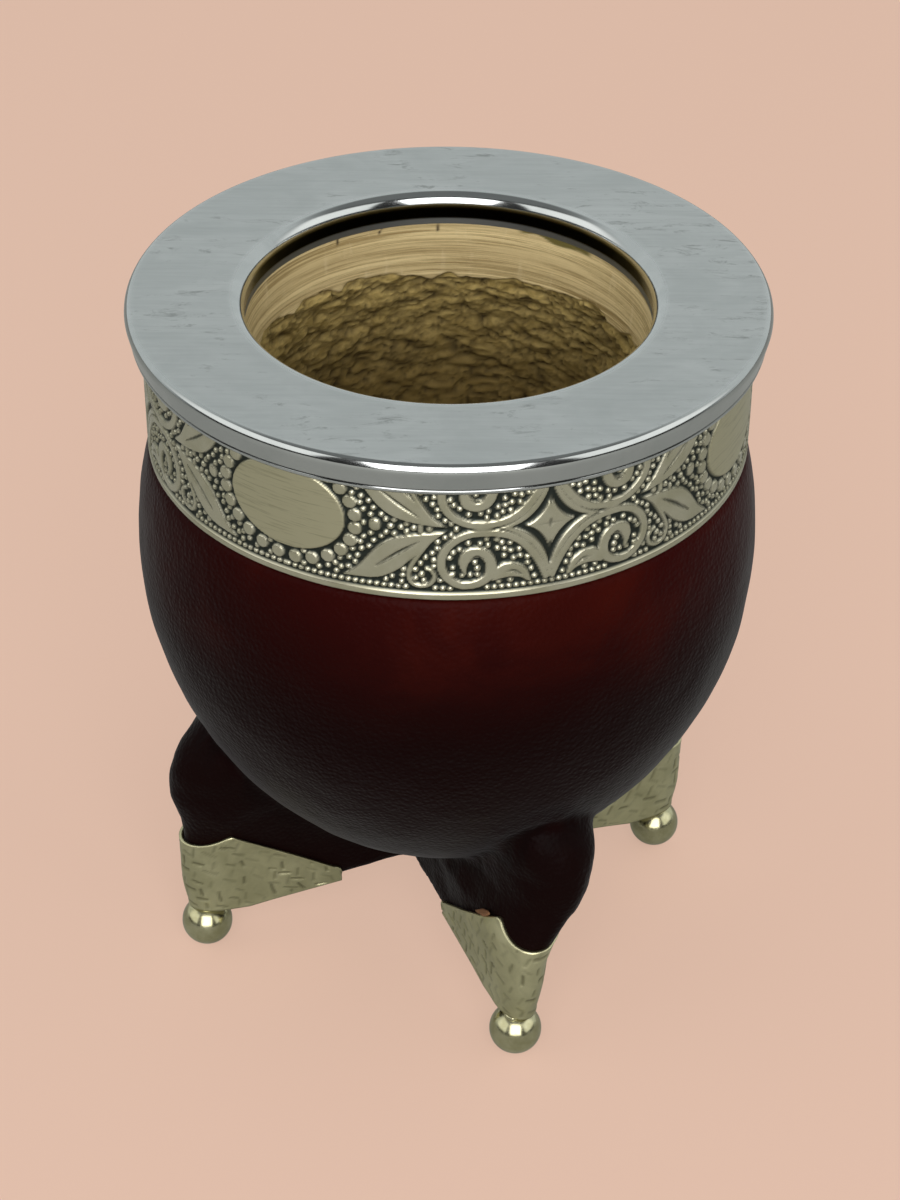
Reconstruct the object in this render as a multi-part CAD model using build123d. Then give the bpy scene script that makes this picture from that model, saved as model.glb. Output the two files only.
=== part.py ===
from build123d import *
import math
import os

# Empty mate gourd cup: a turned calabash shell in a leather cover that is drawn out into four feet,
# with a chased nickel-silver collar, a wide polished steel rim, and a metal cap and ball on each foot.
# Millimetres, +Z up. The axis of the bowl is Z, and the four balls stand on z = 0.

# --- Overall sizes ---------------------------------------------------------------------------------
overall_height = 110.3          # floor to the flat face of the rim
rim_radius = 45.0               # outer edge of the steel rim
body_radius = 45.1              # widest part of the leather body
body_widest_z = 70.6            # height of that widest part
body_upper_arc = 66.0           # radius of the outline above the widest part
body_lower_arc = 55.1           # radius of the outline below it

# --- Steel rim -------------------------------------------------------------------------------------
steel_thickness = 0.6
rim_edge_round = 1.3            # rolled outer edge
rim_lip_round = 1.75            # rolled edge of the mouth
rim_skirt_height = 4.4          # how far the outer wall hangs down
rim_skirt_draw_in = 0.8         # how much narrower the skirt is at its foot
mouth_radius = 28.95            # opening in the rim
mouth_wall_depth = 4.7          # how far the steel reaches into the mouth

# --- Collar ----------------------------------------------------------------------------------------
collar_radius = 42.9            # over the raised ornament
collar_relief = 0.4             # height of the ornament
collar_wall = 0.5               # sheet behind the ornament
collar_height = 20.7
collar_border = 1.1             # plain strip along each edge
collar_top_gap = 0.9            # between the collar's top edge and the underside of the rim
pattern_pitch = 72.0            # length of one repeat of the ornament along the strip
pattern_azimuth = 288.3         # where the strip's middle star stands, in degrees from +X
pattern_rise = 0.8              # the ornament's centre line, above the middle of the collar
medallion_length = 17.6         # oval, along the strip
medallion_height = 12.9
bead_diameter = 2.0             # beads round each medallion
bead_gap = 0.4                  # between a medallion and its beads
beads_per_medallion = 24
star_half_length = 3.9          # four-pointed star between medallions
star_half_height = 5.3
star_waist = 0.3                # how far the star's hollow sides stay out, as a share of its tips

# --- Calabash shell --------------------------------------------------------------------------------
shell_wall = 9.0                # calabash and its pulp lining
turned_depth = 9.0              # band of bare turned wood under the steel
wood_ledge = 0.15               # how far the turned wood stands inside the steel

# --- Leather ---------------------------------------------------------------------------------------
leather_thickness = 1.6
leather_neck_thickness = 1.3    # pared thinner where it goes under the collar
leather_under_collar = 16.0     # how far it reaches up under the collar

# --- Feet ------------------------------------------------------------------------------------------
foot_count = 4
foot_azimuth = 18.93            # first foot, in degrees from +X
base_shift = -1.4               # the hand-made base sits a little to one side, along X
ball_radius = 3.93
ball_inset = 2.1                # from the tip of the foot's underside to the middle of its ball
ball_neck_radius = 1.6
cap_wall = 0.6
cap_inner_end = 17.2            # where the cap starts, measured from the middle of the base
cap_end_rise = 5.1              # its height there
cap_peak_at = 34.0              # where its upper edge is highest
cap_peak_rise = 15.9
cap_notch_rise = 12.9           # dip in the upper edge on the outer ridge of the foot
cap_corner_round = 1.2          # corner of its upper edge at the inner end
notch_sag = 0.30                # how high the middle of the dip's side hangs, as a share of its rise
foot_arch_radius = 32.0         # the underside rises to the middle inside this radius
foot_arch_rise = 3.7
foot_nose = 1.8                 # length of a foot's rounded nose, in half widths
foot_flare = 0.085              # how fast a foot widens towards the middle, on each side
foot_twists = (0.0, 0.0, 0.0, 9.0)      # degrees each foot turns aside above its cap
capped_levels = 4               # how many of the lowest foot levels lie inside the cap

# Half width and reach of a foot at a few heights above the underside of its leather.
foot_levels = [
    (0.0, 2.6, 40.0),
    (4.5, 3.3, 40.7),
    (9.5, 3.9, 40.8),
    (15.5, 5.2, 41.0),
    (22.5, 6.9, 42.2),
    (29.0, 8.6, 41.2),
    (37.0, 10.6, 35.5),
]

# --- Clearances ------------------------------------------------------------------------------------
metal_fit = 0.1                 # between a metal part and what it is fitted on
skin_fit = 0.1                  # between the leather and the calabash

# --- Worked-out places -----------------------------------------------------------------------------
rim_underside_z = overall_height - steel_thickness
mouth_wall_bottom_z = overall_height - mouth_wall_depth
collar_top_z = rim_underside_z - collar_top_gap
collar_bottom_z = collar_top_z - collar_height
collar_middle_z = (collar_top_z + collar_bottom_z) / 2
pattern_z = collar_middle_z + pattern_rise
collar_ground_radius = collar_radius - collar_relief
collar_bore_radius = collar_ground_radius - collar_wall
leather_neck_radius = collar_bore_radius - metal_fit
leather_top_z = collar_bottom_z + leather_under_collar
leather_shoulder_z = collar_bottom_z - leather_thickness
shell_shoulder_z = leather_shoulder_z - skin_fit
shell_neck_radius = leather_neck_radius - leather_neck_thickness - skin_fit
shell_top_z = rim_underside_z - metal_fit
shell_rebate_radius = mouth_radius + steel_thickness + metal_fit
shell_rebate_z = mouth_wall_bottom_z - metal_fit
shell_mouth_radius = mouth_radius - wood_ledge
turned_bottom_z = shell_rebate_z - turned_depth
cap_bottom_z = 2 * ball_radius
foot_underside_z = cap_bottom_z + cap_wall + metal_fit
cap_end_z = cap_bottom_z + cap_end_rise
cap_peak_z = cap_bottom_z + cap_peak_rise
cap_notch_z = cap_bottom_z + cap_notch_rise
ball_circle = foot_levels[0][2] - ball_inset
out_of_the_way = 60.0           # longer than any foot is wide, for cutting tools


def body_outline_radius(z, inset):
    """Radius of the body's outline at height z, moved inwards by inset."""
    arc = (body_upper_arc if z > body_widest_z else body_lower_arc)
    centre = body_radius - arc
    return centre + math.sqrt((arc - inset) ** 2 - (z - body_widest_z) ** 2)


def body_bottom(inset):
    """Lowest point of the outline on the axis, moved inwards by inset."""
    return body_widest_z - math.sqrt((body_lower_arc - inset) ** 2 - (body_lower_arc - body_radius) ** 2)


def bowl_curve(z_top, inset):
    """Outline of the bowl in the XZ plane from z_top down to the axis, moved inwards by inset."""
    bottom = body_bottom(inset)
    steps_down = [0.25, 0.5, 0.75, 0.92]
    heights = [(z_top + body_widest_z) / 2, body_widest_z]
    heights += [body_widest_z - step * (body_widest_z - bottom) for step in steps_down]
    points = [(body_outline_radius(z, inset), 0, z) for z in [z_top] + heights]
    slope = z_top - body_widest_z
    start = (slope, 0, -math.sqrt((body_upper_arc - inset) ** 2 - slope ** 2))
    return Spline(points + [(0, 0, bottom)], tangents=[start, (-1, 0, 0)])


def turned(edges):
    """Solid of revolution about Z of a closed outline drawn in the XZ plane."""
    return revolve(Face(Wire(edges)), axis=Axis.Z)


def polyline_edges(points):
    """Straight edges through points given as (radius, height)."""
    return [Line((a[0], 0, a[1]), (b[0], 0, b[1])) for a, b in zip(points, points[1:])]


def make_shell():
    outer_top = body_outline_radius(shell_shoulder_z, leather_thickness + skin_fit)
    outer = [bowl_curve(shell_shoulder_z, leather_thickness + skin_fit)]
    lining = leather_thickness + skin_fit + shell_wall
    inner = [bowl_curve(turned_bottom_z, lining)]
    turned_bottom_radius = body_outline_radius(turned_bottom_z, lining)
    neck = polyline_edges([
        (turned_bottom_radius, turned_bottom_z),
        (shell_mouth_radius, shell_rebate_z),
        (shell_rebate_radius, shell_rebate_z),
        (shell_rebate_radius, shell_top_z - rim_lip_round),
        (shell_rebate_radius + rim_lip_round, shell_top_z),
        (shell_neck_radius, shell_top_z),
        (shell_neck_radius, shell_shoulder_z),
        (outer_top, shell_shoulder_z),
    ])
    axis = Line((0, 0, body_bottom(leather_thickness + skin_fit)), (0, 0, body_bottom(lining)))
    return turned(outer + inner + neck + [axis])


def foot_section(half_width, reach, z):
    """Section of a foot that points along +X: a narrow nose, and flanks that part towards the middle."""
    shoulder = reach - foot_nose * half_width
    inner_half = half_width + foot_flare * shoulder
    part_way = math.sqrt(0.5) * half_width
    nose = Spline(
        (shoulder, -half_width, z),
        (shoulder + foot_nose * part_way, -part_way, z),
        (reach, 0, z),
        (shoulder + foot_nose * part_way, part_way, z),
        (shoulder, half_width, z),
        tangents=[(1, 0, 0), (-1, 0, 0)],
    )
    edges = [
        Line((0, -inner_half, z), (shoulder, -half_width, z)),
        nose,
        Line((shoulder, half_width, z), (0, inner_half, z)),
        Line((0, inner_half, z), (0, -inner_half, z)),
    ]
    return Face(Wire(edges))


def foot_form(grow=0.0):
    """Capped part of a foot along +X, grown outwards and downwards by grow."""
    sections = []
    for level, half_width, reach in foot_levels[:capped_levels]:
        drop = grow if level == 0 else 0
        sections.append(foot_section(half_width + grow, reach + grow, foot_underside_z + level - drop))
    return loft(sections)


def arch_form(grow=0.0):
    """Low cone that hollows the underside of the feet, lowered by grow."""
    arch = Cone(foot_arch_radius, 0, foot_arch_rise, align=(Align.CENTER, Align.CENTER, Align.MIN))
    return Pos(0, 0, foot_underside_z - grow) * arch


def foot_root(twist):
    """Upper part of a foot along +X, turned aside by twist, which runs out into the body."""
    sections = []
    for level, half_width, reach in foot_levels[capped_levels - 1:]:
        turn = 0 if level == foot_levels[capped_levels - 1][0] else twist
        section = foot_section(half_width, reach, foot_underside_z + level)
        sections.append(Rotation(0, 0, turn) * section)
    return loft(sections)


def foot_place(index):
    """Where foot number index stands."""
    azimuth = foot_azimuth + index * 360 / foot_count
    return Location((base_shift, 0, 0)) * Rotation(0, 0, azimuth)


def make_leather():
    outer_top = body_outline_radius(collar_bottom_z, 0)
    outer = [bowl_curve(collar_bottom_z, 0)]
    neck = polyline_edges([
        (0, leather_top_z),
        (leather_neck_radius, leather_top_z),
        (leather_neck_radius, collar_bottom_z),
        (outer_top, collar_bottom_z),
    ])
    axis = Line((0, 0, body_bottom(0)), (0, 0, leather_top_z))
    body = turned(outer + neck + [axis])
    feet = []
    for index in range(foot_count):
        feet += [foot_place(index) * foot_form(), foot_place(index) * foot_root(foot_twists[index])]
    hollow_wall = [bowl_curve(leather_shoulder_z, leather_thickness)]
    hollow_neck = polyline_edges([
        (0, overall_height),
        (leather_neck_radius - leather_neck_thickness, overall_height),
        (leather_neck_radius - leather_neck_thickness, leather_shoulder_z),
        (body_outline_radius(leather_shoulder_z, leather_thickness), leather_shoulder_z),
    ])
    hollow_axis = Line((0, 0, body_bottom(leather_thickness)), (0, 0, overall_height))
    hollow = turned(hollow_wall + hollow_neck + [hollow_axis])
    arch = Location((base_shift, 0, 0)) * arch_form()
    return body.fuse(*feet).cut(hollow, arch)


def on_collar(along, height, shape, depth):
    """Prism of a flat shape, standing out of the collar's ground at a place on the strip."""
    azimuth = math.radians(pattern_azimuth) + along / collar_radius
    outward = Vector(math.cos(azimuth), math.sin(azimuth), 0)
    sideways = Vector(-math.sin(azimuth), math.cos(azimuth), 0)
    origin = outward * (collar_bore_radius + metal_fit) + Vector(0, 0, height)
    return extrude(Plane(origin=origin, x_dir=sideways, z_dir=outward) * shape, depth)


def make_collar():
    ground = Cylinder(collar_ground_radius, collar_height)
    bore = Cylinder(collar_bore_radius, collar_height)
    border = Cylinder(collar_radius, collar_border) - Cylinder(collar_bore_radius, collar_border)
    border_offset = (collar_height - collar_border) / 2
    strip = (ground - bore) + Pos(0, 0, border_offset) * border + Pos(0, 0, -border_offset) * border
    strip = Pos(0, 0, collar_middle_z) * strip
    crown = Cylinder(collar_radius, collar_height) - Cylinder(collar_bore_radius + metal_fit, collar_height)
    crown = Pos(0, 0, collar_middle_z) * crown
    stand_out = collar_radius - collar_bore_radius - metal_fit
    bulge = medallion_length ** 2 / (8 * collar_radius)     # how far the wall falls away under a medallion
    oval = Ellipse(medallion_length / 2, medallion_height / 2)
    ornaments = []
    for repeat in (-1.5, -0.5, 0.5, 1.5):
        along = repeat * pattern_pitch
        prism = on_collar(along, pattern_z, oval, stand_out)
        inward = on_collar(along, pattern_z, oval, -bulge)
        ornaments.append((prism + inward) & crown)
        for k in range(beads_per_medallion):
            turn = 2 * math.pi * (k + 0.5) / beads_per_medallion
            away = bead_gap + bead_diameter / 2
            x = (medallion_length / 2 + away) * math.cos(turn)
            y = (medallion_height / 2 + away) * math.sin(turn)
            bead = on_collar(along + x, pattern_z + y, Circle(bead_diameter / 2), stand_out)
            ornaments.append(bead)
    for repeat in (-1, 0, 1):
        tips = [(star_half_length, 0), (0, star_half_height), (-star_half_length, 0), (0, -star_half_height)]
        corners = []
        for a, b in zip(tips, tips[1:] + tips[:1]):
            corners += [a, (star_waist * (a[0] + b[0]), star_waist * (a[1] + b[1]))]
        star = make_face(Polyline(*corners, close=True))
        ornaments.append(on_collar(repeat * pattern_pitch, pattern_z, star, stand_out))
    return strip.fuse(*ornaments)


def make_rim():
    skirt_foot_z = overall_height - rim_skirt_height
    skirt_foot = rim_radius - rim_skirt_draw_in
    diagonal = math.sqrt(0.5)

    def rolled(centre, radius, side):
        """Quarter of a rolled edge, from its top towards side (+1 outwards, -1 inwards)."""
        cx, cz = centre
        return ThreePointArc(
            (cx, 0, cz + radius),
            (cx + side * radius * diagonal, 0, cz + radius * diagonal),
            (cx + side * radius, 0, cz),
        )

    edge_centre = (rim_radius - rim_edge_round, overall_height - rim_edge_round)
    lip_centre = (mouth_radius + rim_lip_round, overall_height - rim_lip_round)
    inside_edge = rim_edge_round - steel_thickness
    inside_lip = rim_lip_round - steel_thickness
    edges = [
        Line((lip_centre[0], 0, overall_height), (edge_centre[0], 0, overall_height)),
        rolled(edge_centre, rim_edge_round, 1),
        rolled(edge_centre, inside_edge, 1),
        Line((edge_centre[0], 0, rim_underside_z), (lip_centre[0], 0, rim_underside_z)),
        rolled(lip_centre, inside_lip, -1),
        rolled(lip_centre, rim_lip_round, -1),
    ]
    edges += polyline_edges([
        (rim_radius, edge_centre[1]),
        (skirt_foot, skirt_foot_z),
        (skirt_foot - steel_thickness, skirt_foot_z),
        (rim_radius - steel_thickness, edge_centre[1]),
    ])
    edges += polyline_edges([
        (mouth_radius + steel_thickness, lip_centre[1]),
        (mouth_radius + steel_thickness, mouth_wall_bottom_z),
        (mouth_radius, mouth_wall_bottom_z),
        (mouth_radius, lip_centre[1]),
    ])
    return turned(edges)


def make_cap():
    """Metal cap for a foot along +X: the foot's own form, grown, inside the cap's side outline."""
    outside = foot_form(metal_fit + cap_wall) - arch_form(metal_fit + cap_wall)
    skin = outside - (foot_form(metal_fit) - arch_form(metal_fit))
    tip = foot_levels[1][2] + metal_fit + cap_wall
    bow = cap_corner_round * (1 - math.sqrt(0.5))
    low_end = Vector(cap_inner_end, 0, cap_end_z - cap_corner_round)
    high_end = Vector(cap_inner_end + cap_corner_round, 0, cap_end_z)
    peak = Vector(cap_peak_at, 0, cap_peak_z)
    notch = Vector(tip, 0, cap_notch_z)
    hang = Vector((cap_peak_at + tip) / 2, 0, cap_notch_z + notch_sag * (cap_peak_z - cap_notch_z))
    side = [
        Line((cap_inner_end, 0, 0), low_end),
        ThreePointArc(low_end, (cap_inner_end + bow, 0, cap_end_z - bow), high_end),
        Line(high_end, peak),
        ThreePointArc(peak, hang, notch),
        Line(notch, (out_of_the_way, 0, cap_notch_z)),
        Line((out_of_the_way, 0, cap_notch_z), (out_of_the_way, 0, 0)),
        Line((out_of_the_way, 0, 0), (cap_inner_end, 0, 0)),
    ]
    outline = extrude(Face(Wire(side)), out_of_the_way / 2, dir=(0, 1, 0), both=True)
    return skin & outline


def make_ball():
    """Ball under the outer end of a foot along +X, with the short neck that holds it."""
    ball = Pos(ball_circle, 0, ball_radius) * Sphere(ball_radius)
    neck = Cylinder(ball_neck_radius, ball_radius, align=(Align.CENTER, Align.CENTER, Align.MAX))
    return ball + Pos(ball_circle, 0, cap_bottom_z) * neck


def main():
    os.makedirs("parts", exist_ok=True)
    nodes = {
        "gourd_shell": make_shell(),
        "leather_cover": make_leather(),
        "collar": make_collar(),
        "rim": make_rim(),
    }
    cap = make_cap()
    ball = make_ball()
    for index, side in enumerate(("right", "back", "left", "front")[:foot_count]):
        nodes[f"foot_cap_{side}"] = foot_place(index) * cap
        nodes[f"foot_ball_{side}"] = foot_place(index) * ball
    for name, shape in nodes.items():
        solids = shape.solids()
        box = shape.bounding_box()
        print(f"{name}: {len(solids)} solid(s), {shape.volume:.0f} mm3, z {box.min.Z:.2f} to {box.max.Z:.2f}")
        export_step(shape, f"parts/{name}.step")


if __name__ == "__main__":
    main()
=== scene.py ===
# %% [markdown]
# # A mate gourd cup
# The cup is a hollow gourd in an oxblood leather skin. The skin is drawn out into four feet with a
# metal cap and ball each. A chased collar and a wide steel rim close the top, and it stands empty.
# Every length below is in millimetres, and MM turns it into Blender's metres.

import itertools
import math

import bpy
import numpy as np
from mathutils import Matrix, Vector


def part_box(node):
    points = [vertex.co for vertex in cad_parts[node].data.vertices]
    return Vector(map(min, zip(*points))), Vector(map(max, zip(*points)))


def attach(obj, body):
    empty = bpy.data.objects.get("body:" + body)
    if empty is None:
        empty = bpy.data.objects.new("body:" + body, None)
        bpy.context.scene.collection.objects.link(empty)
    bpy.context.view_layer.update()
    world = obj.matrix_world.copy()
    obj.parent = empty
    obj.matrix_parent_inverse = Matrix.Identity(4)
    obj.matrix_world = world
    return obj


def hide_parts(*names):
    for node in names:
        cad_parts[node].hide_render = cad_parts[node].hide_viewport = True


MM = 0.001
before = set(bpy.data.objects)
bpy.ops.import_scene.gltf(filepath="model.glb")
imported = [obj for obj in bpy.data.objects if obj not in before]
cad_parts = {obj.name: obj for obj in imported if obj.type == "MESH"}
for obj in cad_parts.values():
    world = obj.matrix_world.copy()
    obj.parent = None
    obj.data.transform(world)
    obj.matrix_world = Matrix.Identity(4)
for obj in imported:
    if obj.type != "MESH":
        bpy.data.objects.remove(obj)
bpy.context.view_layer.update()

# %% [markdown]
# The CAD parts are the frame that all looks are built around, so the main sizes are measured on them.
# A box gives heights and outer radii, and the points of a part give the hole through it.


# %% Measure the CAD parts
def node_box(node):
    """Lowest and highest corner of a CAD part."""
    return [np.array(corner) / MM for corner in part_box(node)]


def node_points(node):
    """Every vertex of a CAD part."""
    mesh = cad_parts[node].data
    flat = np.zeros(len(mesh.vertices) * 3)
    mesh.vertices.foreach_get("co", flat)
    return flat.reshape(-1, 3) / MM


FEET = ("right", "back", "left", "front")
rim_low, rim_high = node_box("rim")
collar_low, collar_high = node_box("collar")
skin_low, skin_high = node_box("leather_cover")
top_z = rim_high[2]
rim_radius = rim_high[0]
mouth_radius = np.hypot(*node_points("rim")[:, :2].T).min()
collar_radius = collar_high[0]
body_radius = skin_high[0]
ball_boxes = [node_box("foot_ball_" + side) for side in FEET]
ball_radius = (ball_boxes[0][1][0] - ball_boxes[0][0][0]) / 2
ball_centres = np.array([(low + high) / 2 for low, high in ball_boxes])
base_centre = ball_centres.mean(axis=0)
foot_turn = math.atan2(*(ball_centres[0] - base_centre)[1::-1])
cap_low, cap_high = node_box("foot_cap_right")
print("rim", round(rim_radius, 2), "mouth", round(mouth_radius, 2), "collar", round(collar_radius, 2))
print("balls", round(ball_radius, 2), "feet turned by", round(math.degrees(foot_turn), 2), "degrees")

# %% [markdown]
# Worn and hand-made surfaces need chance in them. Smooth noise does that: random numbers on a lattice,
# blended between its corners. Numpy works on all points of a mesh at once, so it is quick, and the
# seed makes every run the same. Adding smaller and weaker copies gives lumps with grain on them.

# %% Smooth noise on points
LATTICE = 8192


def noise(points, size, seed):
    """A number from -1 to 1 at each point, with lumps about size across."""
    cell = np.floor(points / size).astype(np.int64)
    inside = points / size - cell
    ease = inside * inside * (3 - 2 * inside)
    values = np.random.default_rng(seed).uniform(-1, 1, LATTICE)
    total = 0
    for corner in itertools.product((0, 1), repeat=3):
        at = cell + corner
        mixed = at[..., 0] * 73856093 ^ at[..., 1] * 19349663 ^ at[..., 2] * 83492791
        share = np.prod(np.where(corner, ease, 1 - ease), axis=-1)
        total = total + values[mixed & (LATTICE - 1)] * share
    return total


def layered(points, size, seed, layers=3):
    """Noise with finer, weaker noise on top of it."""
    return sum(noise(points, size / 2**k, seed + k) / 2**k for k in range(layers))


def step(low, high, value):
    """0 below low, 1 above high, and a soft ramp between them."""
    t = np.clip((value - low) / (high - low), 0, 1)
    return t * t * (3 - 2 * t)


# %% [markdown]
# Most pieces here are a grid of points: rows along an outline, columns round the axis. One helper
# turns such a grid into faces, and another turns points and faces into a piece that rides on the
# CAD body, hides the CAD part it stands for, and takes the finish it is given.


# %% Grids, meshes and pieces
def join(*parts):
    """Points from their coordinates; a plain number counts for all of them."""
    return np.stack(np.broadcast_arrays(*parts), axis=-1)


def grid_faces(rows, columns, wrap=True):
    """Quads over a grid of points stored row by row; wrap joins the last column to the first."""
    r = np.arange(rows - 1)[:, None]
    c = np.arange(columns if wrap else columns - 1)[None, :]
    n = (c + 1) % columns
    quads = join(r * columns + c, r * columns + n, (r + 1) * columns + n, (r + 1) * columns + c)
    return quads.reshape(-1, 4)


def piece(name, points, faces, material, nodes, measures=None):
    """A smooth mesh from points in millimetres, as part of the cup."""
    mesh = bpy.data.meshes.new(name)
    mesh.from_pydata((np.asarray(points).reshape(-1, 3) * MM).tolist(), [], faces.tolist())
    mesh.validate()
    mesh.polygons.foreach_set("use_smooth", np.ones(len(mesh.polygons), bool))
    for label, values in (measures or {}).items():
        attribute = mesh.attributes.new(label, "FLOAT", "POINT")
        attribute.data.foreach_set("value", np.asarray(values, np.float32).ravel())
    mesh.materials.append(material)
    made = bpy.data.objects.new(name, mesh)
    bpy.context.scene.collection.objects.link(made)
    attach(made, "root")
    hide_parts(*nodes)
    print(name, len(mesh.vertices), "points", len(mesh.polygons), "faces")


def around(profile, columns):
    """Points of an outline given as (radius, height), repeated round the axis."""
    turn = np.arange(columns) * 2 * math.pi / columns
    radius, height = np.asarray(profile, float).T[..., None]
    return join(radius * np.cos(turn), radius * np.sin(turn), height)


def arc(centre, radius, start, end, count):
    """Points on an arc in the (radius, height) plane, angles in degrees from straight outwards."""
    turn = np.radians(np.linspace(start, end, count))
    return join(centre[0] + radius * np.cos(turn), centre[1] + radius * np.sin(turn))


def line(a, b, count):
    """Points on a straight line, without its last one."""
    return np.linspace(a, b, count + 1)[:-1]


# %% [markdown]
# Shaders are easier to read as sums than as wires. This class wraps one socket, so that an expression
# such as 1 - mask adds the Math nodes for it. Colours are blended by Mix nodes, since a Math node
# would turn them grey.


# %% Shader maths as expressions
class Value:
    """A socket of a material's node tree that can be calculated with."""

    def __init__(self, material, socket):
        self.material = material
        self.socket = socket

    def math(self, operation, *others):
        inputs = dict(enumerate((self, *others)))
        return self.material.node("ShaderNodeMath", {"operation": operation}, inputs)

    def __add__(self, other):
        return self.math("ADD", other)

    def __sub__(self, other):
        return self.math("SUBTRACT", other)

    def __rsub__(self, other):
        return self.material.node("ShaderNodeMath", {"operation": "SUBTRACT"}, {0: other, 1: self})

    def __mul__(self, other):
        return self.math("MULTIPLY", other)

    __radd__ = __add__
    __rmul__ = __mul__

    def limited(self, low, high):
        """0 at low, 1 at high, with a soft ramp between."""
        inputs = {"Value": self, "From Min": low, "From Max": high}
        return self.material.node("ShaderNodeMapRange", {"interpolation_type": "SMOOTHSTEP"}, inputs)

    def blend(self, a, b):
        """Colour a where this mask is 0 and b where it is 1."""
        a, b = (c if isinstance(c, Value) else (*c, 1) for c in (a, b))
        return self.material.node("ShaderNodeMix", {"data_type": "RGBA"}, {0: self, 6: a, 7: b}, 2)


class Finish:
    """A material whose nodes are added by name, with settings first and then socket values or links."""

    def __init__(self, name):
        self.material = bpy.data.materials.new(name)
        self.material.use_nodes = True
        self.tree = self.material.node_tree
        self.surface = self.tree.nodes["Principled BSDF"]

    def put(self, socket, value):
        if isinstance(value, Value):
            self.tree.links.new(value.socket, socket)
        else:
            socket.default_value = value

    def node(self, kind, settings=None, inputs=None, output=0):
        made = self.tree.nodes.new(kind)
        for key, value in (settings or {}).items():
            setattr(made, key, value)
        for key, value in (inputs or {}).items():
            self.put(made.inputs[key], value)
        return Value(self, made.outputs[output])

    def set(self, **inputs):
        """Sets or links sockets of the surface: base_color sets Base Color, and so on."""
        for key, value in inputs.items():
            self.put(self.surface.inputs[key.replace("_", " ").title().replace("Ior", "IOR")], value)

    def measure(self, label):
        """A number stored on the mesh's points."""
        return self.node("ShaderNodeAttribute", {"attribute_name": label}, output="Fac")

    def place(self):
        """Where a point is on the object, in metres."""
        return self.node("ShaderNodeTexCoord", output="Object")

    def grain(self, scale, detail, roughness, distortion=0.0):
        """Noise between 0 and 1, with about this many lumps to the metre along each axis."""
        at = self.node("ShaderNodeVectorMath", {"operation": "MULTIPLY"}, {0: self.place(), 1: scale})
        inputs = {"Vector": at, "Scale": 1.0, "Detail": detail, "Roughness": roughness}
        return self.node("ShaderNodeTexNoise", None, {**inputs, "Distortion": distortion}, "Fac")

    def bump(self, height, distance, strength, normal=None):
        """Bump from a height between 0 and 1 that stands for distance in millimetres."""
        inputs = {"Height": height, "Distance": distance * MM, "Strength": strength}
        if normal is not None:
            inputs["Normal"] = normal
        return self.node("ShaderNodeBump", None, inputs)


# %% [markdown]
# ## Steel rim
# The rim is one pressed ring: a flat satin face, a rolled outer edge with a short skirt that ends in a
# fine groove and a hem, and a rolled lip that bulges a little as it turns down into the mouth. Turning
# its outline round the axis is the plain way to make it. The rolled edges need many points,
# since they carry the sharpest reflections of the cup.

# %% Rim outline
STEEL = 0.6
SKIRT_HEIGHT = 4.7
SKIRT_DRAW_IN = 0.8
SKIRT_GROOVE_AT = 0.778
SKIRT_GROOVE_HALF = 0.09
LIP_BULGE = 0.45
CORNER_BEND = 1.3
MOUTH_BEND = 1.75
MOUTH_BEND_DROP = 1.9
wall_radius = mouth_radius - LIP_BULGE
wall_bottom = rim_low[2]


def roll(first, second, change, steps=12):
    """Outline of an edge rolled down by a right angle; its radius differs before and after change."""
    early, late = np.linspace(0, change, steps)[:-1], np.linspace(change, 90, steps)
    turn = np.radians(np.concatenate([early, late]))
    bend = np.where(turn[1:] <= math.radians(change) + 1e-6, first, second) * np.diff(turn)
    middle = (turn[1:] + turn[:-1]) / 2
    out = np.concatenate([[0], np.cumsum(bend * np.cos(middle))])
    down = np.concatenate([[0], np.cumsum(bend * np.sin(middle))])
    return out, down


edge_out, edge_down = roll(0.8, 1.5, 45)
lip_out, lip_down = roll(1.3, 2.0, 30)
lip_start = wall_radius + lip_out[-1]
lip_bottom = top_z - lip_down[-1]
edge_start = rim_radius - edge_out[-1]
skirt_top = top_z - edge_down[-1]
skirt_foot = (rim_radius - SKIRT_DRAW_IN, top_z - SKIRT_HEIGHT)
skirt_share = np.array([0.0, 0.15, 0.3, 0.45, 0.6, 0.7, 0.74, 0.765, 0.79, 0.82, 0.88, 0.94, 1.0])
skirt_push = np.array([0.0, 0, 0, 0, 0, 0, 0, -0.13, -0.13, 0, 0.07, 0.06, -0.05])
bend_middle = (mouth_radius + MOUTH_BEND, top_z - MOUTH_BEND_DROP)
back_of_wall = mouth_radius + STEEL
rim_profile = np.concatenate([
    line((wall_radius, wall_bottom), (wall_radius, lip_bottom), 14),
    join(lip_start - lip_out, top_z - lip_down)[::-1][:-1],
    line((lip_start, top_z), (edge_start, top_z), 24),
    join(edge_start + edge_out, top_z - edge_down)[:-1],
    join(
        rim_radius - SKIRT_DRAW_IN * skirt_share + skirt_push,
        skirt_top + (skirt_foot[1] - skirt_top) * skirt_share,
    ),
    line((skirt_foot[0] - STEEL, skirt_foot[1]), (rim_radius - STEEL, skirt_top), 3),
    arc((rim_radius - CORNER_BEND, top_z - CORNER_BEND), CORNER_BEND - STEEL, 0, 90, 5)[:-1],
    line((edge_start, top_z - STEEL), (lip_start, top_z - STEEL), 4),
    arc(bend_middle, MOUTH_BEND - STEEL, 90, 180, 5)[:-1],
    line((back_of_wall, bend_middle[1]), (back_of_wall, wall_bottom), 3),
    [(back_of_wall, wall_bottom), (wall_radius, wall_bottom)],
])
print("rim outline has", len(rim_profile), "points")
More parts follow.
